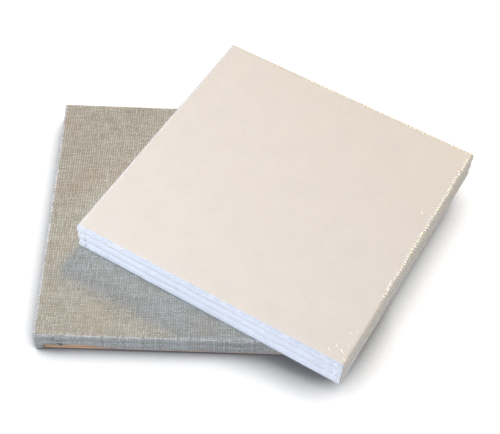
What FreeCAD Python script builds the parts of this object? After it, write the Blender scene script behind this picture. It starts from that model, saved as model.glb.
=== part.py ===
import FreeCAD, Part
import math
import os

from FreeCAD import Placement, Rotation, Vector
import Sketcher

# A stack of stretched canvases, in millimetres with +Z up. Two natural linen canvases lie squarely
# on each other, and a film-wrapped pack of three primed cotton canvases lies turned on top of them.
# The origin is at the middle of the stack's outline, on the surface that it lies on.

doc = FreeCAD.newDocument("canvas_stack")

DRIVING_SIZES = {
    # outer sides of the square frames, and the depth of their bars
    "linen_side": 298,
    "cotton_side": 300,
    "lower_bar_depth": 13.5,
    "upper_bar_depth": 9.5,
    "cotton_bar_depth": 11,
    # a bar's section: a flat lip along its outer edge, then a fall to its inner edge
    "bar_width": 30,
    "lip_width": 4,
    "bar_fall": 2,
    "edge_round": 2.5,
    # corners of the linen frames: tongues, and wedge keys in slots beside them, each with some
    # room left in its slot to be driven further
    "tongue_margin": 8,
    "tongue_gap": 0.1,
    "key_length": 30,
    "key_room": 4.1,
    "key_depth": 2.2,
    "key_gap": 0.1,
    "slot_mouth": 12,
    "slot_end": 7,
    # cloth, its turned-over hem and its rounding at a corner
    "linen_gauge": 0.55,
    "cotton_gauge": 0.4,
    "cloth_gap": 0.05,
    "hem_width": 17,
    "corner_round": 1,
    # the bare strip of bar under the cloth's short front edge
    "bare_start": 7.5,
    "bare_end": 2.2,
    "bare_run": 90,
    "bare_inset": 7,
    # wire staples in the hems
    "staple_crown": 10,
    "staple_leg": 6,
    "staple_width": 0.7,
    "staple_flat": 0.35,
    "staple_inset": 9,
    "staple_margin": 48,
    "staples_a_side": 5,
    # angled nails in the glued corners of the cotton frames
    "nail_leg": 6,
    "nail_depth": 6,
    "nail_gauge": 0.5,
    "nail_first": 8,
    "nail_pitch": 10,
    # clear film round the pack, and how the pack lies on the linen canvases
    "film_gauge": 0.2,
    "film_gap": 0.1,
    "pack_turn": -30,
    "pack_shift_across": 91,
    "pack_shift_back": 11.5,
}
CUTTER_SPARE = 2  # how far a cutting solid runs past what it cuts
SIDES = ("front", "right", "back", "left")
LAYERS = ("bottom", "middle", "top")
NAILS_A_MITRE = 2

sheet = doc.addObject("Spreadsheet::Sheet", "sizes")
for row, (alias, number) in enumerate(DRIVING_SIZES.items(), start=1):
    sheet.set(f"A{row}", alias)
    sheet.set(f"B{row}", str(number))
    sheet.setAlias(f"B{row}", alias)
doc.recompute()


def worth(formula):
    """The number that a formula in the sheet's names comes to."""
    return float(sheet.evalExpression(formula))


def bound(formula):
    """The formula again, with the sheet's name before each of its own names."""
    words = formula.replace("(", "( ").replace(")", " )").split()
    return " ".join(f"sizes.{w}" if w in DRIVING_SIZES else w for w in words)


def bind(thing, **formulas):
    for prop, formula in formulas.items():
        thing.setExpression(prop, bound(formula))


def at(x=0.0, y=0.0, z=0.0, turn=0.0):
    return Placement(Vector(x, y, z), Rotation(Vector(0, 0, 1), turn))


# ---------------------------------------------------------------- sketches and features


def outline(body, plane, name, corners, height=None):
    """A closed polygon on one of the body's own planes, each corner a pair of formulas."""
    sketch = body.newObject("Sketcher::SketchObject", name)
    flat = next(f for f in body.Origin.OriginFeatures if f.Role == plane)
    sketch.AttachmentSupport = (flat, [""])
    sketch.MapMode = "FlatFace"
    if height:
        sketch.setExpression(".AttachmentOffset.Base.z", bound(height))
    points = [Vector(worth(x), worth(y), 0) for x, y in corners]
    count = len(points)
    for i in range(count):
        sketch.addGeometry(Part.LineSegment(points[i], points[(i + 1) % count]), False)
    for i in range(count):
        sketch.addConstraint(Sketcher.Constraint("Coincident", i, 2, (i + 1) % count, 1))
    for i, (x, y) in enumerate(corners):
        for kind, formula, value in (("DistanceX", x, points[i].x), ("DistanceY", y, points[i].y)):
            place = sketch.addConstraint(Sketcher.Constraint(kind, -1, 1, i, 1, value))
            sketch.setExpression(f"Constraints[{place}]", bound(formula))
    return sketch


def pad(body, sketch, name, length):
    feature = body.newObject("PartDesign::Pad", name)
    feature.Profile = sketch
    bind(feature, Length=length)
    return feature


def pocket(body, sketch, name, depth=None):
    """Cuts down from the sketch by a depth, or right through the body both ways."""
    before = volume_so_far(body)
    feature = body.newObject("PartDesign::Pocket", name)
    feature.Profile = sketch
    if depth:
        bind(feature, Length=depth)
    else:
        feature.Type = "ThroughAll"
        feature.Midplane = True
    if volume_so_far(body) >= before:
        raise RuntimeError(f"{body.Label}: {name} cut nothing")
    return feature


def volume_so_far(body):
    doc.recompute()
    return body.Shape.Volume


# ---------------------------------------------------------------- stretcher bars and keys

# A bar runs along +X from its outer corner, with its outer edge at y = 0, its back at z = 0.
SPLIT = "( bar_depth - bar_fall ) / 2"
SLOT_HEIGHT = "( key_depth + 2 * key_gap )"
SLOT_FLOOR = "( tongue_margin - tongue_gap )"
SLOT_DEPTH = f"( bar_width - {SLOT_FLOOR} )"


def mitred(side, corners):
    """The same corners at a bar's far end."""
    return [(f"{side} - ( {x} )", y) for x, y in corners]


def bar(name, side, depth, keyed):
    body = doc.addObject("PartDesign::Body", name)
    section = outline(
        body,
        "YZ_Plane",
        f"{name}_section",
        [
            ("0", "0"),
            ("bar_width", "0"),
            ("bar_width", f"{depth} - bar_fall"),
            ("lip_width", depth),
            ("0", depth),
        ],
    )
    stick = pad(body, section, f"{name}_stick", side)
    doc.recompute()
    outer = [
        f"Edge{i}"
        for i, edge in enumerate(stick.Shape.Edges, start=1)
        if all(abs(v.Y) < 1e-6 for v in edge.Vertexes) and edge.Length > worth("bar_width")
    ]
    eased = body.newObject("PartDesign::Fillet", f"{name}_eased")
    eased.Base = (stick, outer)
    bind(eased, Radius="edge_round")

    mitre = [
        (f"-{CUTTER_SPARE}", f"-{CUTTER_SPARE}"),
        (f"bar_width + {CUTTER_SPARE}", f"bar_width + {CUTTER_SPARE}"),
        (f"-{CUTTER_SPARE}", f"bar_width + {CUTTER_SPARE}"),
    ]
    near = outline(body, "XY_Plane", f"{name}_near_mitre", mitre)
    pocket(body, near, f"{name}_near_cut")
    far = outline(body, "XY_Plane", f"{name}_far_mitre", mitred(side, mitre))
    pocket(body, far, f"{name}_far_cut")
    if keyed:
        corner_joint(body, name, side, SPLIT.replace("bar_depth", depth))
    return body


def corner_joint(body, name, side, split):
    """A slot and a tongue at each end: the slot lies below the tongue at the near end and above
    it at the far end, so that four of the same bars close into a frame."""
    slot = [
        (SLOT_FLOOR, SLOT_FLOOR),
        ("bar_width + slot_end", SLOT_FLOOR),
        ("bar_width + slot_mouth", "bar_width"),
        ("bar_width", "bar_width"),
    ]
    tongue = [
        ("tongue_margin", "tongue_margin"),
        ("bar_width", "bar_width"),
        ("tongue_margin", "bar_width"),
    ]
    tongue_height = f"{SLOT_HEIGHT} - 2 * tongue_gap"
    above = f"( {split} + {SLOT_HEIGHT} )"
    below = f"( {split} - {SLOT_HEIGHT} )"

    near_slot = outline(body, "XY_Plane", f"{name}_near_slot", slot, split)
    pocket(body, near_slot, f"{name}_near_slot_cut", SLOT_HEIGHT)
    far_slot = outline(body, "XY_Plane", f"{name}_far_slot", mitred(side, slot), above)
    pocket(body, far_slot, f"{name}_far_slot_cut", SLOT_HEIGHT)
    near_tongue = outline(
        body, "XY_Plane", f"{name}_near_tongue", tongue, f"{split} + tongue_gap"
    )
    pad(body, near_tongue, f"{name}_near_tongue_pad", tongue_height)
    far_tongue = outline(
        body, "XY_Plane", f"{name}_far_tongue", mitred(side, tongue), f"{below} + tongue_gap"
    )
    pad(body, far_tongue, f"{name}_far_tongue_pad", tongue_height)


def key(name, side, depth, far):
    """A wedge in a bar's slot, its straight side along the next bar's inner edge."""
    slope = f"( slot_mouth - slot_end ) / {SLOT_DEPTH}"
    seat = f"( {SLOT_DEPTH} - key_room )"
    tip = f"( slot_mouth - {seat} * {slope} )"
    head = f"( slot_mouth + ( key_length - {seat} ) * {slope} )"
    wedge = [
        ("bar_width + key_gap", f"bar_width - {seat}"),
        (f"bar_width + {tip} - key_gap", f"bar_width - {seat}"),
        (f"bar_width + {head} - key_gap", f"bar_width + key_length - {seat}"),
        ("bar_width + key_gap", f"bar_width + key_length - {seat}"),
    ]
    split = SPLIT.replace("bar_depth", depth)
    height = f"{split} + key_gap" if far else f"{split} - key_gap - key_depth"
    body = doc.addObject("PartDesign::Body", name)
    shape = mitred(side, wedge) if far else wedge
    pad(body, outline(body, "XY_Plane", f"{name}_wedge", shape, height), f"{name}_pad", "key_depth")
    return body


# ---------------------------------------------------------------- cloth, film and small metal


def rounded_block(name, half, low, high, long_round, corner):
    """A square block centred on the axis, with rounded upper and lower edges and corners."""
    box = doc.addObject("Part::Box", f"{name}_box")
    bind(box, Length=f"2 * {half}", Width=f"2 * {half}", Height=f"{high} - {low}")
    for axis in ("x", "y"):
        box.setExpression(f".Placement.Base.{axis}", bound(f"- {half}"))
    box.setExpression(".Placement.Base.z", bound(low))
    doc.recompute()
    rounds = []
    for i, edge in enumerate(box.Shape.Edges, start=1):
        upright = abs(edge.Vertexes[0].Z - edge.Vertexes[-1].Z) > 1e-6
        radius = worth(corner) if upright else worth(long_round)
        if radius:
            rounds.append((i, radius, radius))
    block = doc.addObject("Part::Fillet", f"{name}_block")
    block.Base = box
    block.Edges = rounds
    return block


def cut(name, whole, tool):
    piece = doc.addObject("Part::Cut", name)
    piece.Base = whole
    piece.Tool = tool
    return piece


def cloth(name, side, depth, gauge, short_front):
    """Cloth over the frame's front and sides and turned in behind it. The hem is two layers deep,
    which is what it measures where a corner is folded."""
    half = f"( {side} / 2 + cloth_gap )"
    bar_back = f"( 2 * {gauge} )"
    bar_front = f"( {bar_back} + {depth} + cloth_gap )"
    outer = rounded_block(
        f"{name}_outer",
        f"( {half} + {gauge} )",
        "0",
        f"( {bar_front} + {gauge} )",
        f"edge_round + {gauge}",
        "corner_round",
    )
    inner = rounded_block(f"{name}_inner", half, bar_back, bar_front, "edge_round", "0")
    opening = doc.addObject("Part::Box", f"{name}_opening")
    window = f"( {side} / 2 - hem_width )"
    bind(opening, Length=f"2 * {window}", Width=f"2 * {window}", Height=f"2 * {bar_back}")
    for axis in ("x", "y"):
        opening.setExpression(f".Placement.Base.{axis}", bound(f"- {window}"))
    opening.setExpression(".Placement.Base.z", bound(f"- {gauge}"))
    label = f"{name}_over_frame" if short_front else name
    tray = cut(label, cut(f"{name}_hollow", outer, inner), opening)
    if short_front:
        return cut(name, tray, short_edge(name, side, bar_back))
    return tray


def short_edge(name, side, bar_back):
    """What is missing along the front of a cloth that was laid askew: its hem there, and a strip
    of its side that is deepest at one end."""
    start = f"- {side} / 2 + bare_inset"
    end = f"{side} / 2 - bare_inset"
    corners = [
        (start, f"-{CUTTER_SPARE}"),
        (end, f"-{CUTTER_SPARE}"),
        (end, f"{bar_back} + bare_end"),
        (f"{start} + bare_run", f"{bar_back} + bare_end"),
        (start, f"{bar_back} + bare_start"),
    ]
    body = doc.addObject("PartDesign::Body", f"{name}_bare_strip")
    strip = outline(body, "XZ_Plane", f"{name}_bare_outline", corners)
    feature = pad(body, strip, f"{name}_bare_pad", f"hem_width + {CUTTER_SPARE} + {CUTTER_SPARE}")
    feature.Reversed = True
    body.setExpression(".Placement.Base.y", bound(f"- {side} / 2 - {CUTTER_SPARE}"))
    return body


def group(name, shapes):
    """Identical fasteners, as separate solids in one piece."""
    piece = doc.addObject("Part::Feature", name)
    piece.Shape = Part.makeCompound(shapes)
    return piece


def prism(corners, along):
    points = [Vector(*c) for c in corners]
    return Part.Face(Part.makePolygon([*points, points[0]])).extrude(along)


def staple():
    """A staple with its crown along X at z = 0 and its legs up."""
    half, leg, flat = worth("staple_crown / 2"), worth("staple_leg"), worth("staple_flat")
    width = worth("staple_width")
    corners = [(-half, 0), (half, 0), (half, leg), (half - flat, leg), (half - flat, flat)]
    corners += [(flat - half, flat), (flat - half, leg), (-half, leg)]
    return prism([(x, -width / 2, z) for x, z in corners], Vector(0, width, 0))


def staples(name, side, gauge, sides):
    """A row of staples in the hem of each of these sides, bedded against its outer layer."""
    half = worth(f"{side} / 2")
    count = int(worth("staples_a_side"))
    reach = half - worth("staple_margin")
    crown = worth(f"{gauge} - staple_flat")
    row = []
    for turn in sides:
        for i in range(count):
            along = -reach + 2 * reach * i / (count - 1)
            one = staple()
            one.Placement = at(turn=90 * turn) * at(along, worth("staple_inset") - half, crown)
            row.append(one)
    return group(name, row)


def corner_nails(name, side, gauge):
    """Two angled steel nails across each mitre, flush with the back of the bars."""
    half, leg, steel = worth(f"{side} / 2"), worth("nail_leg"), worth("nail_gauge")
    angle = [(0, 0), (leg, 0), (leg, steel), (steel, steel), (steel, leg), (0, leg)]
    nail = prism([(x, y, 0) for x, y in angle], Vector(0, 0, worth("nail_depth")))
    back = worth(f"2 * {gauge}")
    nails = []
    for turn in range(len(SIDES)):
        for step in range(NAILS_A_MITRE):
            inset = worth("nail_first") + step * worth("nail_pitch") - half
            one = nail.copy()
            one.Placement = at(turn=90 * turn) * at(inset, inset, back)
            nails.append(one)
    return group(name, nails)


# ---------------------------------------------------------------- canvases and the pack

sub_parts = []


def put(piece, name, place):
    piece.Label = name
    piece.Placement = place
    sub_parts.append(piece)


def height_of(depth, gauge):
    return worth(f"{depth} + cloth_gap + 3 * {gauge}")


def canvas(name, side, depth, gauge, place, keyed, glued_front=False):
    """One stretched canvas, its back at the height of place."""
    half = worth(f"{side} / 2")
    back = worth(f"2 * {gauge}")
    for turn, where in enumerate(SIDES):
        on_side = place * at(turn=90 * turn) * at(-half, -half, back)
        put(bar(f"{name}_bar_{where}", side, depth, keyed), f"{name}_bar_{where}", on_side)
        if keyed:
            for number, far in enumerate((False, True)):
                label = f"{name}_key_{where}_{number + 1}"
                put(key(label, side, depth, far), label, on_side)
    put(cloth(f"{name}_cloth", side, depth, gauge, glued_front), f"{name}_cloth", place)
    stapled = [turn for turn in range(len(SIDES)) if turn or not glued_front]
    put(staples(f"{name}_staples", side, gauge, stapled), f"{name}_staples", place)
    if not keyed:
        put(corner_nails(f"{name}_corner_nails", side, gauge), f"{name}_corner_nails", place)


def film(name, place, low, high):
    """Clear film shrunk round the pack: a closed skin just outside its cloth."""
    inner_half = "( cotton_side / 2 + cloth_gap + cotton_gauge + film_gap )"
    inner_round = "edge_round + cotton_gauge + film_gap"
    outer = rounded_block(
        f"{name}_outer",
        f"( {inner_half} + film_gauge )",
        f"{low}",
        f"{high}",
        f"{inner_round} + film_gauge",
        "corner_round + film_gauge",
    )
    inner = rounded_block(
        f"{name}_inner",
        inner_half,
        f"( {low} + film_gauge )",
        f"( {high} - film_gauge )",
        inner_round,
        "corner_round",
    )
    put(cut(name, outer, inner), name, place)


lower_height = height_of("lower_bar_depth", "linen_gauge")
upper_height = height_of("upper_bar_depth", "linen_gauge")
cotton_height = height_of("cotton_bar_depth", "cotton_gauge")
skin = worth("film_gauge + film_gap")
pack_low = lower_height + upper_height
pack_height = len(LAYERS) * cotton_height + 2 * skin

# The pack is turned, so it reaches out by its corners, and the origin is midway between the ends.
linen_half = worth("linen_side / 2 + cloth_gap + linen_gauge")
pack_half = worth("cotton_side / 2 + cloth_gap + cotton_gauge + film_gap + film_gauge")
pack_round = worth("corner_round + film_gauge")
turned = math.radians(worth("pack_turn"))
spread = abs(math.cos(turned)) + abs(math.sin(turned))
pack_reach = (pack_half - pack_round) * spread + pack_round
shift = Vector(worth("pack_shift_across"), worth("pack_shift_back"), 0)
lows = [min(-linen_half, s - pack_reach) for s in (shift.x, shift.y)]
highs = [max(linen_half, s + pack_reach) for s in (shift.x, shift.y)]
linen_at = Vector(-(lows[0] + highs[0]) / 2, -(lows[1] + highs[1]) / 2, 0)
pack_at = linen_at + shift

canvas(
    "lower_linen",
    "linen_side",
    "lower_bar_depth",
    "linen_gauge",
    at(linen_at.x, linen_at.y),
    keyed=True,
    glued_front=True,
)
canvas(
    "upper_linen",
    "linen_side",
    "upper_bar_depth",
    "linen_gauge",
    at(linen_at.x, linen_at.y, lower_height),
    keyed=True,
)
for layer, position in enumerate(LAYERS):
    canvas(
        f"{position}_cotton",
        "cotton_side",
        "cotton_bar_depth",
        "cotton_gauge",
        at(
            pack_at.x,
            pack_at.y,
            pack_low + skin + layer * cotton_height,
            worth("pack_turn"),
        ),
        keyed=False,
    )
film("shrink_film", at(pack_at.x, pack_at.y, pack_low, worth("pack_turn")), 0, pack_height)

# ---------------------------------------------------------------- checks and files

doc.recompute()
for thing in doc.Objects:
    if "Invalid" in thing.State or "Error" in thing.State:
        raise RuntimeError(f"{thing.Label} failed: {thing.State}")
for piece in sub_parts:
    if piece.Shape.isNull() or not piece.Shape.isValid():
        raise RuntimeError(f"{piece.Label} has no valid shape")

os.makedirs("parts", exist_ok=True)
for piece in sub_parts:
    piece.Shape.exportStep(f"parts/{piece.Label}.step")
print(f"{len(sub_parts)} sub-parts written")
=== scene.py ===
import math
import random

import bmesh
import bpy
from mathutils import Matrix, Vector, noise


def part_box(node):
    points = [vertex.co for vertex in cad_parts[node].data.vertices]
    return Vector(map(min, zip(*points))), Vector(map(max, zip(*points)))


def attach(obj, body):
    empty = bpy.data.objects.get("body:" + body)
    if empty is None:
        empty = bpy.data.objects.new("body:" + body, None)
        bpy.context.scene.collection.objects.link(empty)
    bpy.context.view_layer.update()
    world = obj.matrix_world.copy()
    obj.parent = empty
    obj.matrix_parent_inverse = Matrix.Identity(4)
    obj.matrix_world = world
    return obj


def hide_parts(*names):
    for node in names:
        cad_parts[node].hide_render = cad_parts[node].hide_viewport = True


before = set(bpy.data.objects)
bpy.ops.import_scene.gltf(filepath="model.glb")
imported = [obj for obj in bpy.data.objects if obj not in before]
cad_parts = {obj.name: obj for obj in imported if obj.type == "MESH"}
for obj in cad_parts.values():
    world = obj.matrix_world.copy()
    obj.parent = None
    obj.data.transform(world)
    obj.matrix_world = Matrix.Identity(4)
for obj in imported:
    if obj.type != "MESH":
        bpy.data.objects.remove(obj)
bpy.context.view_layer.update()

MM = 0.001

# ---------------------------------------------------------------- where the canvases are

PACK_TURN = math.radians(-30)
LINEN = ("lower_linen", "upper_linen")
COTTON = ("bottom_cotton", "middle_cotton", "top_cotton")
FRONT, RIGHT, BACK, LEFT = range(4)


def measured(name, turn):
    """A canvas's middle, sizes and levels, read from its bars and its cloth's solid."""
    low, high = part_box(f"{name}_cloth")
    bar_low, bar_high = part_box(f"{name}_bar_front")
    half = (bar_high.x - bar_low.x) / math.cos(turn) / 2
    return {
        "name": name,
        "place": Matrix.Translation(((low.x + high.x) / 2, (low.y + high.y) / 2, 0))
        @ Matrix.Rotation(turn, 4, "Z"),
        "half": half + high.z - bar_high.z,
        "low": low.z,
        "top": high.z,
        "gauge": (bar_low.z - low.z) / 2,
    }


canvases = {name: measured(name, 0) for name in LINEN}
canvases.update({name: measured(name, PACK_TURN) for name in COTTON})


# ---------------------------------------------------------------- shader nodes

def socket(tree, value, target):
    """Feeds a node's input with another socket, or sets it to a number."""
    if isinstance(value, bpy.types.NodeSocket):
        tree.links.new(value, target)
    else:
        target.default_value = value


def add(tree, kind, inputs=(), **settings):
    made = tree.nodes.new(kind)
    for name, value in settings.items():
        setattr(made, name, value)
    for name, value in dict(inputs).items():
        socket(tree, value, made.inputs[name])
    return made


def calc(tree, operation, *values, clamp=False):
    made = add(tree, "ShaderNodeMath", operation=operation, use_clamp=clamp)
    for i, value in enumerate(values):
        socket(tree, value, made.inputs[i])
    return made.outputs[0]


def vector(tree, x=0.0, y=0.0, z=0.0):
    return add(tree, "ShaderNodeCombineXYZ", {"X": x, "Y": y, "Z": z}).outputs[0]


def noise_at(tree, place, scale=1.0, detail=2.0, roughness=0.5):
    made = add(
        tree,
        "ShaderNodeTexNoise",
        {"Vector": place, "Scale": scale, "Detail": detail, "Roughness": roughness},
    )
    return made.outputs["Fac"]


def between(tree, value, low, high, start=0.0, end=1.0):
    """value mapped smoothly from low..high to start..end, and held there outside."""
    made = add(tree, "ShaderNodeMapRange", interpolation_type="SMOOTHSTEP")
    for name, number in (
        ("Value", value),
        ("From Min", low),
        ("From Max", high),
        ("To Min", start),
        ("To Max", end),
    ):
        socket(tree, number, made.inputs[name])
    return made.outputs["Result"]


def mixed(tree, factor, a, b, blend="MIX"):
    made = add(tree, "ShaderNodeMix", data_type="RGBA", blend_type=blend)
    socket(tree, factor, made.inputs[0])
    socket(tree, a, made.inputs[6])
    socket(tree, b, made.inputs[7])
    return made.outputs[2]


def rgb(red, green, blue):
    """A colour from its everyday 0 to 255 values, as the linear light that shaders work in."""
    def linear(c):
        c = c / 255
        return c / 12.92 if c <= 0.04045 else ((c + 0.055) / 1.055) ** 2.4
    return (linear(red), linear(green), linear(blue), 1.0)


def group(name, inputs, outputs):
    """An empty node group with its own input and output nodes."""
    tree = bpy.data.node_groups.new(name, "ShaderNodeTree")
    for label, kind, value in inputs:
        made = tree.interface.new_socket(label, in_out="INPUT", socket_type=kind)
        if value is not None:
            made.default_value = value
    for label, kind in outputs:
        tree.interface.new_socket(label, in_out="OUTPUT", socket_type=kind)
    return tree, tree.nodes.new("NodeGroupInput"), tree.nodes.new("NodeGroupOutput")


NUMBER, PLACE, COLOUR = "NodeSocketFloat", "NodeSocketVector", "NodeSocketColor"


def weave_group():
    """Plain weave on a cloth's own flat coordinates. Yarns run along both, wander a little, and
    swell into slubs. Height is 0 between yarns and 1 on top of one."""
    tree, given, result = group(
        "plain_weave",
        [
            ("Flat Place", PLACE, None),
            ("Warp Pitch", NUMBER, 0.002),
            ("Weft Pitch", NUMBER, 0.002),
            ("Wander", NUMBER, 0.2),
            ("Slubs", NUMBER, 0.5),
        ],
        [("Height", NUMBER), ("Warp On Top", NUMBER), ("Yarn Tone", NUMBER), ("Slub", NUMBER)],
    )
    flat = add(tree, "ShaderNodeSeparateXYZ", {"Vector": given.outputs["Flat Place"]}).outputs
    wander = given.outputs["Wander"]

    def yarn_count(seed, across_index, pitch):
        """How many yarns have been crossed so far, with whole numbers between two yarns."""
        count = calc(tree, "DIVIDE", flat[across_index], given.outputs[pitch])
        sway = calc(tree, "SUBTRACT", noise_at(tree, vector(tree, flat[0], flat[1], seed), 90, 2), 0.5)
        return calc(tree, "ADD", count, calc(tree, "MULTIPLY", sway, wander))

    warp = yarn_count(0.0, 0, "Warp Pitch")
    weft = yarn_count(7.0, 1, "Weft Pitch")
    waves = [calc(tree, "SINE", calc(tree, "MULTIPLY", c, math.pi)) for c in (warp, weft)]
    warp_up = between(tree, calc(tree, "MULTIPLY", *waves), -0.06, 0.06)
    swell_warp, swell_weft = (calc(tree, "ABSOLUTE", w) for w in waves)

    def crown(across, along):
        """A yarn's round top: steep across it, and gentler along it."""
        return calc(
            tree, "MULTIPLY", calc(tree, "POWER", across, 0.75), calc(tree, "POWER", along, 0.4)
        )

    warp_crown, weft_crown = crown(swell_warp, swell_weft), crown(swell_weft, swell_warp)
    plain = calc(
        tree,
        "ADD",
        calc(tree, "MULTIPLY", warp_crown, warp_up),
        calc(tree, "MULTIPLY", weft_crown, calc(tree, "SUBTRACT", 1.0, warp_up)),
    )

    def along_yarn(own, other, seed, stretch):
        """Noise that changes from yarn to yarn and slowly along each one."""
        number = calc(tree, "MULTIPLY", calc(tree, "FLOOR", own), 5.37)
        return noise_at(tree, vector(tree, number, calc(tree, "MULTIPLY", other, stretch), seed), 1, 1.5)

    def of_top_yarn(seed, stretch):
        """That noise, for whichever yarn is on top."""
        a = calc(tree, "MULTIPLY", along_yarn(warp, weft, seed, stretch), warp_up)
        b = along_yarn(weft, warp, seed + 3.3, stretch)
        return calc(tree, "ADD", a, calc(tree, "MULTIPLY", b, calc(tree, "SUBTRACT", 1.0, warp_up)))

    tone = of_top_yarn(0.0, 0.16)
    slub = calc(
        tree,
        "MULTIPLY",
        between(tree, of_top_yarn(11.0, 0.07), 0.62, 0.74),
        given.outputs["Slubs"],
    )
    height = calc(tree, "ADD", plain, calc(tree, "MULTIPLY", slub, 0.5))
    for name, value in (
        ("Height", height),
        ("Warp On Top", warp_up),
        ("Yarn Tone", tone),
        ("Slub", slub),
    ):
        socket(tree, value, result.inputs[name])
    return tree


def grain_group():
    """Straight wood grain along X: growth bands, fine pores and slow changes of tone."""
    tree, given, result = group(
        "straight_grain",
        [("Place", PLACE, None), ("Band Width", NUMBER, 0.003), ("Figure", NUMBER, 0.5)],
        [("Bands", NUMBER), ("Pores", NUMBER), ("Tone", NUMBER)],
    )
    place = add(tree, "ShaderNodeSeparateXYZ", {"Vector": given.outputs["Place"]}).outputs

    def stretched(along, across):
        return vector(tree, *(calc(tree, "MULTIPLY", c, k) for c, k in zip(place, (along, across, across))))

    slow = stretched(6.0, 60.0)
    warp = calc(tree, "MULTIPLY", noise_at(tree, slow, 1, 2), given.outputs["Figure"])
    across = calc(tree, "ADD", calc(tree, "MULTIPLY", place[2], 0.8), place[1])
    straight = calc(tree, "DIVIDE", across, given.outputs["Band Width"])
    count = calc(tree, "ADD", straight, calc(tree, "MULTIPLY", warp, 6.0))
    bands = calc(tree, "POWER", calc(tree, "FRACT", count), 2.2)
    pores = between(tree, noise_at(tree, stretched(120.0, 2600.0), 1, 2), 0.52, 0.7)
    tone = noise_at(tree, slow, 2.0, 3)
    for name, value in (("Bands", bands), ("Pores", pores), ("Tone", tone)):
        socket(tree, value, result.inputs[name])
    return tree


WEAVE = weave_group()
GRAIN = grain_group()


def new_material(name):
    """A material with only its Principled BSDF, its tree and that shader."""
    material = bpy.data.materials.new(name)
    material.use_nodes = True
    tree = material.node_tree
    return material, tree, tree.nodes["Principled BSDF"]


def placed(tree, kind, **inputs):
    """A node group's outputs, given its inputs by name with _ for each space."""
    made = tree.nodes.new("ShaderNodeGroup")
    made.node_tree = kind
    for name, value in inputs.items():
        socket(tree, value, made.inputs[name.replace("_", " ")])
    return made.outputs


def flat_place(tree):
    return add(tree, "ShaderNodeUVMap", uv_map="flat").outputs["UV"]


def raised(tree, shader, height, distance, strength=1.0):
    bump = add(tree, "ShaderNodeBump", {"Height": height, "Distance": distance, "Strength": strength})
    tree.links.new(bump.outputs["Normal"], shader.inputs["Normal"])


# ---------------------------------------------------------------- finishes

# yarns across a canvas, and up it
LINEN_YARNS = (123, 152)
COTTON_YARNS = (116, 92)
GROWTH_BAND = 3.2 * MM


def linen_material():
    """Unbleached linen: greyish yarns of uneven tone, pale slubs and a few dark flecks of straw."""
    material, tree, shader = new_material("natural_linen")
    place = flat_place(tree)
    side = 2 * canvases["upper_linen"]["half"]
    cloth = placed(
        tree,
        WEAVE,
        Flat_Place=place,
        Warp_Pitch=side / LINEN_YARNS[0],
        Weft_Pitch=side / LINEN_YARNS[1],
        Wander=0.5,
        Slubs=0.45,
    )
    tone = between(tree, cloth["Yarn Tone"], 0.2, 0.8)
    yarn = mixed(tree, tone, rgb(172, 168, 152), rgb(210, 208, 195))
    yarn = mixed(tree, cloth["Slub"], yarn, rgb(228, 227, 218))
    warm = between(tree, noise_at(tree, place, 14, 3), 0.45, 0.7)
    yarn = mixed(tree, calc(tree, "MULTIPLY", warm, 0.35), yarn, rgb(190, 168, 146))
    x, y, _ = add(tree, "ShaderNodeSeparateXYZ", {"Vector": place}).outputs
    spots = vector(tree, calc(tree, "MULTIPLY", x, 260.0), calc(tree, "MULTIPLY", y, 330.0))
    flecks = between(tree, noise_at(tree, spots, 1, 1), 0.755, 0.8)
    yarn = mixed(tree, calc(tree, "MULTIPLY", flecks, 0.75), yarn, rgb(96, 84, 68))
    # painted highlight: the yarns are lightened round the fold from the face to the sides, where the light
    # catches it
    fold_highlight = add(tree, "ShaderNodeAttribute", attribute_name="fold_highlight").outputs["Fac"]
    frayed = add(tree, "ShaderNodeAttribute", attribute_name="frayed").outputs["Fac"]
    fold_highlight_mix = calc(tree, "MULTIPLY", fold_highlight, between(tree, cloth["Yarn Tone"], 0.35, 0.65, 0.1, 0.9))
    yarn = mixed(tree, fold_highlight_mix, yarn, rgb(232, 228, 218))
    yarn = mixed(tree, calc(tree, "MULTIPLY", frayed, 0.75), yarn, rgb(214, 178, 160))
    shade = between(tree, cloth["Height"], 0.0, 0.75, 0.58, 1.0)
    shaded = mixed(tree, 1.0, yarn, vector(tree, shade, shade, shade), "MULTIPLY")
    tree.links.new(shaded, shader.inputs["Base Color"])
    shader.inputs["Roughness"].default_value = 0.85
    shader.inputs["Specular IOR Level"].default_value = 0.25
    shader.inputs["Sheen Weight"].default_value = 0.15
    raised(tree, shader, cloth["Height"], 0.35 * MM)
    return material


def cotton_material():
    """Fine cotton under two coats of matt white primer, so that the weave only just shows."""
    material, tree, shader = new_material("primed_cotton")
    place = flat_place(tree)
    side = 2 * canvases["top_cotton"]["half"]
    cloth = placed(
        tree,
        WEAVE,
        Flat_Place=place,
        Warp_Pitch=side / COTTON_YARNS[0],
        Weft_Pitch=side / COTTON_YARNS[1],
        Wander=0.3,
        Slubs=0.3,
    )
    brushed = noise_at(tree, place, 35, 4)
    primer = mixed(tree, brushed, rgb(236, 232, 224), rgb(243, 240, 233))
    shade = between(tree, cloth["Height"], 0.0, 0.8, 0.965, 1.0)
    primer = mixed(tree, 1.0, primer, vector(tree, shade, shade, shade), "MULTIPLY")
    tree.links.new(primer, shader.inputs["Base Color"])
    shader.inputs["Roughness"].default_value = 0.7
    shader.inputs["Specular IOR Level"].default_value = 0.3
    raised(tree, shader, cloth["Height"], 0.08 * MM)
    return material


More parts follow.
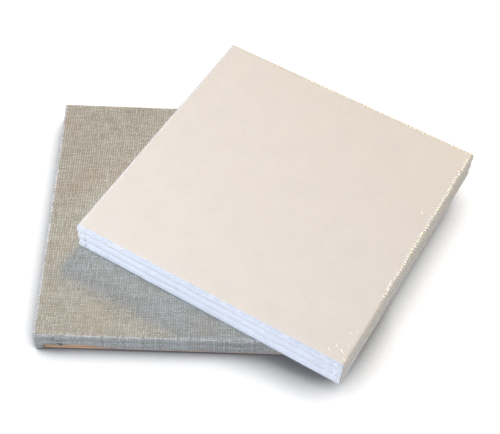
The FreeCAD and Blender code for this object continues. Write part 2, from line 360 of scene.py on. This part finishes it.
def wood_material(name, turn, pale, dark):
    """Planed wood with its grain along the direction at this turn about Z."""
    material, tree, shader = new_material(name)
    coordinates = add(tree, "ShaderNodeTexCoord").outputs["Object"]
    mapping = add(tree, "ShaderNodeMapping", {"Vector": coordinates})
    mapping.inputs["Rotation"].default_value = (0, 0, -turn)
    along_grain = mapping.outputs["Vector"]
    grain = placed(tree, GRAIN, Place=along_grain, Band_Width=GROWTH_BAND, Figure=0.7)
    colour = mixed(tree, grain["Bands"], pale, dark)
    colour = mixed(tree, calc(tree, "MULTIPLY", grain["Pores"], 0.35), colour, dark)
    tinted = between(tree, grain["Tone"], 0.3, 0.7, 0.86, 1.05)
    colour = mixed(tree, 1.0, colour, vector(tree, tinted, tinted, tinted), "MULTIPLY")
    tree.links.new(colour, shader.inputs["Base Color"])
    rough = between(tree, grain["Pores"], 0.0, 1.0, 0.55, 0.75)
    tree.links.new(rough, shader.inputs["Roughness"])
    shader.inputs["Specular IOR Level"].default_value = 0.35
    height = calc(tree, "SUBTRACT", calc(tree, "MULTIPLY", grain["Bands"], 0.5), grain["Pores"])
    raised(tree, shader, height, 0.08 * MM)
    return material


def steel_material():
    """Galvanized wire, with a dull uneven zinc coat."""
    material, tree, shader = new_material("galvanized_wire")
    coordinates = add(tree, "ShaderNodeTexCoord").outputs["Object"]
    coat = noise_at(tree, coordinates, 900, 3)
    zinc = mixed(tree, coat, rgb(150, 153, 158), rgb(196, 199, 203))
    tree.links.new(zinc, shader.inputs["Base Color"])
    tree.links.new(between(tree, coat, 0.3, 0.7, 0.28, 0.5), shader.inputs["Roughness"])
    shader.inputs["Metallic"].default_value = 1.0
    raised(tree, shader, coat, 0.02 * MM)
    return material


def film_material():
    """Clear film. It barely shows where it lies flat. Along its folds and creases a painted highlight makes
    it more opaque and near white.
    """
    material, tree, shader = new_material("clear_film")
    painted_glint = add(tree, "ShaderNodeAttribute", attribute_name="painted_glint").outputs["Fac"]
    coordinates = add(tree, "ShaderNodeTexCoord").outputs["Object"]
    haze = between(tree, noise_at(tree, coordinates, 40, 3), 0.35, 0.75, 0.02, 0.06)
    # painted highlight: the film turns more opaque and near white along its folds and creases
    alpha = calc(tree, "ADD", haze, calc(tree, "MULTIPLY", painted_glint, 0.7), clamp=True)
    tree.links.new(alpha, shader.inputs["Alpha"])
    tone = mixed(tree, painted_glint, rgb(236, 242, 250), rgb(236, 243, 252))
    tree.links.new(tone, shader.inputs["Base Color"])
    shader.inputs["Roughness"].default_value = 0.12
    shader.inputs["IOR"].default_value = 1.5
    raised(tree, shader, noise_at(tree, coordinates, 160, 2), 0.05 * MM)
    return material


def pucker_material():
    """Film gathered into small tight folds, milky and glossy, with a painted glint: it glows a little, so
    that the folds read as bright highlights.
    """
    material, tree, shader = new_material("gathered_film_painted_glint")
    coordinates = add(tree, "ShaderNodeTexCoord").outputs["Object"]
    milky_glint = noise_at(tree, coordinates, 500, 2)
    tone = mixed(tree, milky_glint, rgb(236, 232, 214), rgb(255, 253, 242))
    tree.links.new(tone, shader.inputs["Base Color"])
    tree.links.new(between(tree, milky_glint, 0.3, 0.6, 0.6, 0.95), shader.inputs["Alpha"])
    # painted glint: a faint glow in the folds' own tone
    tree.links.new(tone, shader.inputs["Emission Color"])
    shader.inputs["Emission Strength"].default_value = 0.36
    shader.inputs["Roughness"].default_value = 0.2
    shader.inputs["Coat Weight"].default_value = 1.0
    return material


# the way the floor's painted shadow looks for the stack: from the table right of the stack and behind it,
# up towards the stack
TOWARDS_STACK = (-0.58, -0.65, 0.49)


def floor_material():
    """A plain matt white table. Camera rays see it glow white, with a painted shadow that darkens it close
    to the stack, most of all on its right. Other rays see a plain matt grey. From underneath it isn't
    there."""
    material, tree, shader = new_material("white_table_painted_shadow")
    coordinates = add(tree, "ShaderNodeTexCoord").outputs["Object"]
    seen = add(tree, "ShaderNodeLightPath").outputs["Is Camera Ray"]
    paint = mixed(tree, noise_at(tree, coordinates, 30, 2), rgb(214, 214, 214), rgb(219, 219, 219))
    tree.links.new(mixed(tree, seen, paint, rgb(90, 90, 90)), shader.inputs["Base Color"])
    near = add(tree, "ShaderNodeAmbientOcclusion", {"Distance": 35 * MM}).outputs["AO"]
    right = add(tree, "ShaderNodeAmbientOcclusion", {"Distance": 60 * MM})
    right.inputs["Normal"].default_value = TOWARDS_STACK
    # painted shadow: the glow that camera rays see dims where ambient occlusion finds the stack close by,
    # most on its right
    painted_shadow_glow = calc(
        tree,
        "MULTIPLY",
        between(tree, near, 0.25, 0.7, 0.45, 1.0),
        between(tree, right.outputs["AO"], 0.38, 0.85, 0.1, 1.0),
    )
    shader.inputs["Emission Color"].default_value = (1, 1, 1, 1)
    tree.links.new(calc(tree, "MULTIPLY", painted_shadow_glow, seen), shader.inputs["Emission Strength"])
    underneath = add(tree, "ShaderNodeNewGeometry").outputs["Backfacing"]
    tree.links.new(calc(tree, "SUBTRACT", 1.0, underneath), shader.inputs["Alpha"])
    shader.inputs["Roughness"].default_value = 0.9
    shader.inputs["Specular IOR Level"].default_value = 0.1
    return material


linen_finish = linen_material()
cotton_finish = cotton_material()
steel_finish = steel_material()
film_finish = film_material()
pucker_finish = pucker_material()


# ---------------------------------------------------------------- cloth over a frame

FOLD_RADIUS = 3 * MM
CORNER_RADIUS = 1.4 * MM
HEM = 17 * MM
# points nearer than this are joined into one
SAME_POINT = 0.01 * MM

# the lower linen canvas is glued at the front, and stops short of the bar's back there
BARE_INSET = 7 * MM
BARE_HIGH = 9 * MM
BARE_LOW = 3.4 * MM
BARE_FADE = (46 * MM, 86 * MM)
# half the width of the tear in the cloth at each end of the bare strip
TEAR = 0.15 * MM


def quarter_turn():
    """How far cloth runs round a fold."""
    return FOLD_RADIUS * math.pi / 2


def profile(canvas, run, out=0.0):
    """The line that cloth follows from the start of the front fold, down the side, round the back
    fold and along the hem: how far out from the side it is and how high, at this run along it.
    out moves it off that line, away from the frame."""
    radius, quarter = FOLD_RADIUS, quarter_turn()
    hem_level = canvas["low"] + canvas["gauge"]
    straight = canvas["top"] - hem_level - 2 * radius
    if run < quarter:
        outward, up = math.sin(run / radius), math.cos(run / radius)
        return -radius + (radius + out) * outward, canvas["top"] - radius + (radius + out) * up
    run -= quarter
    if run < straight:
        belly = math.sin(math.pi * run / straight) * canvas["belly"]
        return belly + out, canvas["top"] - radius - run
    run -= straight
    if run < quarter:
        outward, down = math.cos(run / radius), math.sin(run / radius)
        return -radius + (radius + out) * outward, hem_level + radius - (radius + out) * down
    return -radius - (run - quarter), hem_level - out


def side_run(canvas):
    """From the start of the front fold to the end of the back fold."""
    height = canvas["top"] - canvas["low"] - canvas["gauge"]
    return height - 2 * FOLD_RADIUS + 2 * quarter_turn()


def full_run(canvas):
    """From the start of the front fold to the hem's edge."""
    return side_run(canvas) + HEM - FOLD_RADIUS


def on_side(canvas, side, along, run, out=0.0):
    """A point of the wrapped cloth. along is from -1 to 1 between the side's two mitres."""
    offset, height = profile(canvas, run, out)
    reach = canvas["half"] + offset
    x, y = rounded_corner(canvas, along * reach, reach, out)
    return Matrix.Rotation(side * math.pi / 2, 3, "Z") @ Vector((x, -y, height))


def rounded_corner(canvas, x, y, out):
    """Pulls a point in to the rounded upright corner of the frame's outline."""
    centre = canvas["half"] - CORNER_RADIUS
    dx, dy = abs(x) - centre, y - centre
    if dx <= 0 or dy <= 0:
        return x, y
    scale = max(dx, dy) / math.hypot(dx, dy)
    return math.copysign(centre + dx * scale, x), centre + dy * scale


def spaced(stops):
    """Distances from the middle outwards, given as (distance, steps to get there)."""
    lines = [0.0]
    for stop, steps in stops:
        start = lines[-1]
        lines += [start + (stop - start) * (i + 1) / steps for i in range(steps)]
    return lines


def flat_grid(bm, lines):
    """A grid over the flat cloth, with its lines at these distances each way from the middle."""
    every = [-d for d in reversed(lines[1:])] + lines
    count = len(every) - 1
    bmesh.ops.create_grid(bm, x_segments=count, y_segments=count, size=1)
    for vert in bm.verts:
        for axis in (0, 1):
            vert.co[axis] = every[round((vert.co[axis] + 1) / 2 * count)]


def remove_corners(bm, face_half):
    """Takes away the squares outside the face's corners, which the folds hide."""
    edge = face_half + SAME_POINT
    gone = []
    for face in bm.faces:
        middle = face.calc_center_median()
        if abs(middle.x) > edge and abs(middle.y) > edge:
            gone.append(face)
    bmesh.ops.delete(bm, geom=gone, context="FACES")


def which_side(x, y, face_half):
    """(the side that this flat place wraps round, how far past the face it is), or (None, 0)."""
    past = max(abs(x), abs(y)) - face_half
    if past <= 1e-7:
        return None, 0.0
    if abs(y) >= abs(x):
        return (FRONT if y < 0 else BACK), past
    return (RIGHT if x > 0 else LEFT), past


def along_side(side, x, y):
    """The place along a side, from its left end to its right end as one faces it."""
    return {FRONT: x, RIGHT: y, BACK: -x, LEFT: -y}[side]


def smooth(value, low, high):
    """From 0 at low to 1 at high, levelling off at both."""
    part = min(1.0, max(0.0, (value - low) / (high - low)))
    return part * part * (3 - 2 * part)


def bare_height(canvas, x):
    """How far above the bar's back the glued front stops, at x along it from the middle."""
    along = x + canvas["half"]
    ragged = noise.noise(Vector((x * 900, 0, 5))) * 0.25 * MM
    wavy = noise.noise(Vector((x * 45, 3, 5))) * 0.6 * MM
    return BARE_HIGH + (BARE_LOW - BARE_HIGH) * smooth(along, *BARE_FADE) + ragged + wavy


def cut_run(canvas, x):
    """The run at which the glued front stops."""
    level = canvas["low"] + 2 * canvas["gauge"] + bare_height(canvas, x)
    return quarter_turn() + canvas["top"] - FOLD_RADIUS - level


def finished(bm, name, material, body):
    """The mesh as a smooth-shaded piece of this material, riding on a body."""
    mesh = bpy.data.meshes.new(name)
    bm.to_mesh(mesh)
    bm.free()
    mesh.shade_smooth()
    mesh.materials.append(material)
    made = bpy.data.objects.new(name, mesh)
    bpy.context.scene.collection.objects.link(made)
    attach(made, body)
    return made


def patch(bm, flat, columns, rows, place, spot):
    """Another layer of cloth in the same mesh. place gives a point for each (u, v) from 0 to 1, and
    spot the flat place that its yarns carry on from."""
    made = bmesh.ops.create_grid(bm, x_segments=columns, y_segments=rows, size=0.5)["verts"]
    uv = {vert: (vert.co.x + 0.5, vert.co.y + 0.5) for vert in made}
    faces = list({face for vert in made for face in vert.link_faces})
    for face in faces:
        for loop in face.loops:
            loop[flat].uv = spot(*uv[loop.vert])
    for vert in made:
        vert.co = place(*uv[vert])
    outward = place(0.5, 0.5, True) - place(0.5, 0.5)
    facing = 0.0
    for face in faces:
        face.normal_update()
        facing += face.normal.dot(outward)
    if facing < 0:
        bmesh.ops.reverse_faces(bm, faces=faces)


def corner_flap(bm, flat, canvas, side, end, width, lift):
    """Cloth folded over a corner and laid on the side. end is -1 for the side's left corner and 1
    for its right one. lift is how far the top of its free edge stands off, or 0 where the edge is
    stuck down."""
    start, bottom = quarter_turn() * 0.8, side_run(canvas) + 9 * MM
    thick = canvas["gauge"]
    glued = canvas["bare"] and side == FRONT

    def place(u, v, raised=False):
        from_corner = u * width
        stop = bottom
        if glued:
            x = end * (canvas["half"] - from_corner)
            part = smooth(from_corner, BARE_INSET, BARE_INSET + 3 * MM)
            stop += (cut_run(canvas, -abs(x) if end < 0 else x) - 0.3 * MM - stop) * part
        run = start + (1 - u) * 1.2 * MM
        run += (stop - run) * v
        wave = noise.noise(Vector((u * 3, v * 4, canvas["low"] * 70 + side + end)))
        out = thick * min(1.0, u * 8) * 1.02 + 0.1 * MM * wave * u
        if lift:
            out += lift * smooth(u, 0.72, 1) * (1 - smooth(v, 0.1, 0.85))
        else:
            out *= 1 - 0.9 * smooth(u, 0.86, 1)
        if run > side_run(canvas) - quarter_turn():
            out = min(out, 0.97 * thick)
        along = end * (1 - from_corner / canvas["half"])
        return on_side(canvas, side, along, run, out + (1 * MM if raised else 0))

    def spot(u, v):
        return (0.31 + bottom * v, 0.07 + end * u * width)

    patch(bm, flat, 16, 24, place, spot)


def hem_fold(bm, flat, canvas, corner):
    """The cloth of two hems folded across one another under a corner."""
    turn = Matrix.Rotation(corner * math.pi / 2, 3, "Z")
    outer = canvas["half"] - FOLD_RADIUS
    reach = HEM * 1.15

    def place(u, v, raised=False):
        inward = reach * v
        x = -outer + inward
        y = -outer + (reach + 4 * MM - inward * 0.9) * u
        level = canvas["low"] + (0.02 * MM if v > 0.04 else canvas["gauge"])
        return turn @ Vector((x, y, level - (1 * MM if raised else 0)))

    def spot(u, v):
        return (0.4 + reach * (u + v) * 0.7, 0.2 + reach * (u - v) * 0.7)

    patch(bm, flat, 8, 8, place, spot)


def cloth_lines(canvas, face_half, inset):
    """The grid lines of a flat cloth: close together at the tears and round the folds."""
    quarter, side_end = quarter_turn(), side_run(canvas)
    stops = [
        (inset - TEAR, 58),
        (inset + TEAR, 1),
        (face_half, 2),
        (face_half + quarter, 5),
        (face_half + side_end - quarter, 4),
        (face_half + side_end, 5),
        (face_half + full_run(canvas), 4),
    ]
    return spaced(stops)


def wrapped_cloth(canvas, material, body):
    """The cloth of one canvas, pulled over its frame from one square piece."""
    bm = bmesh.new()
    half = canvas["half"]
    face_half = half - FOLD_RADIUS
    quarter, full = quarter_turn(), full_run(canvas)
    inset = half - BARE_INSET
    flat_grid(bm, cloth_lines(canvas, face_half, inset))
    remove_corners(bm, face_half)
    flat = bm.loops.layers.uv.new("flat")
    bm.verts.layers.float.new("fold_highlight")
    bm.verts.layers.float.new("frayed")
    fold_highlight, frayed = (bm.verts.layers.float[name] for name in ("fold_highlight", "frayed"))
    seed = canvas["low"] * 100
    spots = {}
    for vert in bm.verts:
        x, y = vert.co.x, vert.co.y
        spots[vert] = (x, y)
        side, run = which_side(x, y, face_half)
        ripple = noise.noise(Vector((x, y, 0)) * canvas["ripple_pitch"] + Vector((0, 0, seed)))
        if side is None:
            vert.co = Vector((x, y, canvas["top"] - canvas["slack"] * (0.5 + 0.5 * ripple)))
            continue
        glued = canvas["bare"] and side == FRONT and abs(x) < inset
        if glued and run > quarter:
            run = quarter + (run - quarter) * (cut_run(canvas, x) - quarter) / (full - quarter)
            spots[vert] = (x, -face_half - run)
        along = along_side(side, x, y) / face_half
        vert.co = on_side(canvas, side, along, min(run, full), canvas["ripple"] * ripple)
    for vert, (x, y) in spots.items():
        side, run = which_side(x, y, face_half)
        run = max(abs(x), abs(y)) - face_half if side is None else run
        # painted highlight round the fold from the face to the sides, strongest 0.4 of the way round it
        vert[fold_highlight] = canvas["wear"] * math.exp(-(((run / quarter) - 0.4) / 0.4) ** 2)
        if canvas["bare"] and side == FRONT and abs(x) < inset and run > quarter:
            vert[frayed] = smooth(run, cut_run(canvas, x) - 3.5 * MM, cut_run(canvas, x))
    torn = []
    for face in bm.faces:
        for loop in face.loops:
            loop[flat].uv = spots[loop.vert]
        across = sum(abs(spots[v][0]) for v in face.verts) / len(face.verts)
        front = max(spots[v][1] for v in face.verts) < -face_half - quarter + 1e-6
        if canvas["bare"] and front and abs(across - inset) < TEAR + SAME_POINT:
            torn.append(face)
    bmesh.ops.delete(bm, geom=torn, context="FACES")
    bmesh.ops.remove_doubles(bm, verts=bm.verts, dist=SAME_POINT)
    for side, end, width, lift in canvas["flaps"]:
        corner_flap(bm, flat, canvas, side, end, width, lift)
    for corner in range(4):
        hem_fold(bm, flat, canvas, corner)
    bmesh.ops.transform(bm, matrix=canvas["place"], verts=bm.verts)
    made = finished(bm, f"{canvas['name']}_wrapped_cloth", material, body)
    solid = made.modifiers.new("gauge", "SOLIDIFY")
    solid.thickness = canvas["gauge"]
    solid.offset = -1
    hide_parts(f"{canvas['name']}_cloth")
    return made


def flaps(width, seed):
    """A flap at both ends of a canvas's front and back sides."""
    random.seed(seed)
    made = []
    for side in (FRONT, BACK):
        for end in (-1, 1):
            made.append((side, end, width * random.uniform(0.9, 1.1), 0))
    return made


for seed, name in enumerate(LINEN):
    canvases[name].update(belly=0.1 * MM, slack=0.05 * MM, ripple=0.15 * MM, ripple_pitch=30)
    canvases[name].update(bare=name == "lower_linen", flaps=flaps(22 * MM, seed), wear=0.35 + 0.65 * seed)
# the one flap that has come loose, and stands open at its top
canvases["lower_linen"]["flaps"][0] = (FRONT, -1, 29 * MM, 3 * MM)
for seed, name in enumerate(COTTON):
    canvases[name].update(belly=0.5 * MM, slack=0.05 * MM, ripple=0.3 * MM, ripple_pitch=55)
    canvases[name].update(bare=False, flaps=flaps(9 * MM, seed + 9), wear=0)
for name in LINEN:
    wrapped_cloth(canvases[name], linen_finish, name)
for name in COTTON:
    wrapped_cloth(canvases[name], cotton_finish, "cotton_pack")


# ---------------------------------------------------------------- clear film round the pack

pack = canvases["top_cotton"]
film_low, film_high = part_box("shrink_film")
film_gap = canvases["bottom_cotton"]["low"] - film_low.z
FILM_CLEAR = 0.15 * MM
film_half = pack["half"] + film_gap + FILM_CLEAR
film_radius = FOLD_RADIUS + film_gap


def film_glint(side, along, run):
    """How strongly the film shows its painted highlight, from 0 where it lies flat to 1, at a place along
    one of its sides and so far down it. The painted highlight lies along the fold at the top of each side.
    It is set stronger on some sides than others, strongest on the front, with faint streaks further down."""
    fold = math.exp(-(((run / film_radius) - 0.75) / 0.5) ** 2)
    patchy = 0.6 + 0.8 * noise.noise(Vector((along * 11, side * 7.0, 1)))
    side_glint = {FRONT: 0.8, RIGHT: 0.6, BACK: 0.5, LEFT: 0.4}[side]
    streak = max(0.0, noise.noise(Vector((along * 30, run * 160, side + 3)))) * 0.16
    return min(1.0, max(0.0, fold * side_glint * patchy + streak * smooth(run, 0, film_radius)))


def film_skin():
    """Film pulled over the pack from above and below, and joined round the middle of its sides."""
    bm = bmesh.new()
    face_half = film_half - film_radius
    depth = (film_high.z - film_low.z) / 2
    quarter = film_radius * math.pi / 2
    run_end = quarter + depth - film_radius
    fold = face_half + quarter
    flat_grid(bm, spaced([(face_half, 60), (fold, 8), (face_half + run_end, 8)]))
    remove_corners(bm, face_half)
    painted_glint = bm.verts.layers.float.new("painted_glint")
    middle = (film_low.z + film_high.z) / 2
    for vert in bm.verts:
        x, y = vert.co.x, vert.co.y
        side, run = which_side(x, y, face_half)
        if side is None:
            vert.co = Vector((x, y, film_high.z))
            continue
        along = along_side(side, x, y) / face_half
        vert[painted_glint] = film_glint(side, along, run)
        sag = 0.25 * MM * noise.noise(Vector((along * 25, run * 200, side * 3.0)))
        sag *= smooth(run, 0, quarter) * (1 - smooth(run, run_end - 2 * MM, run_end))
        if run < quarter:
            outward, up = math.sin(run / film_radius), math.cos(run / film_radius)
            out, level = film_radius * (outward - 1), film_high.z + film_radius * (up - 1)
        else:
            out, level = 0.0, film_high.z - film_radius - (run - quarter)
        reach = film_half + out + sag
        px, py = rounded_corner({"half": film_half}, along * reach, reach, 0)
        vert.co = Matrix.Rotation(side * math.pi / 2, 3, "Z") @ Vector((px, -py, level))
    bmesh.ops.remove_doubles(bm, verts=bm.verts, dist=SAME_POINT)
    halves = bmesh.ops.duplicate(bm, geom=list(bm.verts) + list(bm.edges) + list(bm.faces))
    for vert in (g for g in halves["geom"] if isinstance(g, bmesh.types.BMVert)):
        vert.co.z = 2 * middle - vert.co.z
    bmesh.ops.remove_doubles(bm, verts=bm.verts, dist=SAME_POINT)
    bmesh.ops.recalc_face_normals(bm, faces=bm.faces)
    bmesh.ops.transform(bm, matrix=pack["place"], verts=bm.verts)
    made = finished(bm, "film_skin", film_finish, "cotton_pack")
    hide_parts("shrink_film")


def pucker(bm, x, y, turn, long, wide, high):
    """One small raised fold of film on the pack's face, with its length turned from X."""
    made = bmesh.ops.create_uvsphere(bm, u_segments=8, v_segments=5, radius=0.5)["verts"]
    stretch = Matrix.Diagonal((long, wide, high, 1))
    past = max(abs(x), abs(y)) - film_half + film_radius
    level = film_high.z
    if past > 0:
        level += math.sqrt(film_radius**2 - past**2) - film_radius
    where = Matrix.Translation((x, y, level)) @ Matrix.Rotation(turn, 4, "Z") @ stretch
    bmesh.ops.transform(bm, matrix=where, verts=made)


# lines of small folds where the film was sealed, near the back and the right edges of the face:
# (from, to, along Y, distance of the line from the middle)
SEALED = (
    (-54 * MM, 146 * MM, False, film_half - 2.2 * MM),
    (-62 * MM, 146 * MM, True, film_half - 3.6 * MM),
)
# longer creases near the front right corner, and one scratch: (x, y, degrees from X, length)
CREASES = (
    (139.3, -115.1, 34, 4.5),
    (144.4, -110.4, 50, 2.5),
    (130.0, -140.6, -28, 5.2),
    (134.7, -133.4, -40, 5.0),
    (141.0, -136.2, -24, 10.0),
    (147.0, -143.1, -36, 6.0),
    (143.5, -127.5, 70, 3.5),
    (135.6, 50.2, 15, 3.0),
    (136.8, 48.4, 70, 2.2),
)


def film_puckers():
    """The lines of small folds and the longer creases, as one piece."""
    bm = bmesh.new()
    random.seed(4)
    for start, stop, upright, line in SEALED:
        place = start
        while place < stop:
            strength = random.uniform(0.45, 1.0)
            across = line + random.uniform(-0.9, 0.9) * MM
            x, y = (across, place) if upright else (place, across)
            turn = (0 if upright else math.pi / 2) + random.uniform(-0.5, 0.5)
            long = (1.6 + 2.2 * strength) * MM
            pucker(bm, x, y, turn, long, 1.5 * MM * strength, 0.35 * MM)
            place += random.uniform(2.3, 4.3) * MM
    for x, y, degrees, long in CREASES:
        pucker(bm, x * MM, y * MM, math.radians(degrees), long * MM, 0.8 * MM, 0.3 * MM)
    bmesh.ops.transform(bm, matrix=pack["place"], verts=bm.verts)
    made = finished(bm, "film_puckers", pucker_finish, "cotton_pack")


film_skin()
film_puckers()

# ---------------------------------------------------------------- wood and metal of the frames

PINE = (rgb(242, 200, 152), rgb(204, 146, 94))
BEECH = (rgb(226, 200, 166), rgb(196, 158, 118))


def grain_turn(name):
    """The direction of a bar's or key's length about Z."""
    turn = PACK_TURN if "cotton" in name else 0.0
    crosswise = any(word in name for word in ("_right", "_left"))
    if "_key_" in name:
        crosswise = not crosswise
    return turn + (math.pi / 2 if crosswise else 0.0)


woods = {}
for name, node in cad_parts.items():
    if name.endswith("staples") or name.endswith("nails"):
        finish = steel_finish
    elif "_bar_" in name or "_key_" in name:
        pale, dark = BEECH if "_key_" in name else PINE
        turn = grain_turn(name)
        label = f"{'key' if '_key_' in name else 'bar'}_wood_{round(math.degrees(turn))}"
        if label not in woods:
            woods[label] = wood_material(label, turn, pale, dark)
        finish = woods[label]
    else:
        continue
    node.data.materials.clear()
    node.data.materials.append(finish)


# ---------------------------------------------------------------- table, light and camera

TABLE_REACH = 6


def table():
    bm = bmesh.new()
    bmesh.ops.create_grid(bm, x_segments=8, y_segments=8, size=TABLE_REACH)
    mesh = bpy.data.meshes.new("table_top")
    bm.to_mesh(mesh)
    bm.free()
    mesh.materials.append(floor_material())
    made = bpy.data.objects.new("table_top", mesh)
    bpy.context.scene.collection.objects.link(made)


def lamp(name, azimuth, elevation, distance, size, brightness):
    """A square soft light facing the stack. brightness is how bright it makes a white card there
    that faces it, in red, green and blue. azimuth is from +X towards +Y."""
    data = bpy.data.lights.new(name, "AREA")
    data.shape = "SQUARE"
    data.size = size
    strongest = max(brightness)
    data.color = [value / strongest for value in brightness]
    data.energy = strongest * (math.pi * distance) ** 2
    made = bpy.data.objects.new(name, data)
    azimuth, elevation = math.radians(azimuth), math.radians(elevation)
    across = math.cos(elevation)
    towards = Vector((math.cos(azimuth) * across, math.sin(azimuth) * across, math.sin(elevation)))
    made.location = towards * distance
    made.rotation_mode = "QUATERNION"
    made.rotation_quaternion = towards.to_track_quat("Z", "Y")
    bpy.context.scene.collection.objects.link(made)


def room_light(colour):
    """Even light from all round, in front of a plain white backdrop."""
    world = bpy.data.worlds.new("room")
    world.use_nodes = True
    tree = world.node_tree
    seen = add(tree, "ShaderNodeLightPath").outputs["Is Camera Ray"]
    tone = mixed(tree, seen, (*colour, 1.0), (1.0, 1.0, 1.0, 1.0))
    tree.links.new(tone, tree.nodes["Background"].inputs["Color"])
    bpy.context.scene.world = world


def camera(azimuth, elevation, roll, aim, distance, lens):
    """Looks down at aim from the front, its angles in degrees, with the horizon off level by roll."""
    azimuth, elevation, roll = (math.radians(a) for a in (azimuth, elevation, roll))
    across, down = math.cos(elevation), -math.sin(elevation)
    ahead = Vector((math.sin(azimuth) * across, math.cos(azimuth) * across, down))
    level = Vector((math.cos(azimuth), -math.sin(azimuth), 0))
    right = level * math.cos(roll) + level.cross(ahead) * math.sin(roll)
    facing = Matrix((right, right.cross(ahead), -ahead)).transposed().to_4x4()
    data = bpy.data.cameras.new("camera")
    data.sensor_width = 36
    data.lens = lens
    made = bpy.data.objects.new("camera", data)
    made.matrix_world = Matrix.Translation(aim - ahead * distance) @ facing
    bpy.context.scene.collection.objects.link(made)
    bpy.context.scene.camera = made


table()
room_light((0.21, 0.22, 0.25))
lamp("warm_lamp", 60, 43, 6.0, 1.5, (0.455, 0.30, 0.07))
lamp("window", 200, 26, 3.2, 1.2, (0.60, 0.75, 1.05))
lamp("ceiling_bounce", 190, 60, 0.9, 0.5, (0.20, 0.165, 0.135))
lamp("right_fill", -20, 10, 3.0, 1.5, (0.22, 0.23, 0.24))
camera(3.084, 53.797, 4.483, Vector((-15.4, -34.9, 59.25)) * MM, 1.1034, 78.4)
bpy.context.scene.view_settings.view_transform = "Standard"
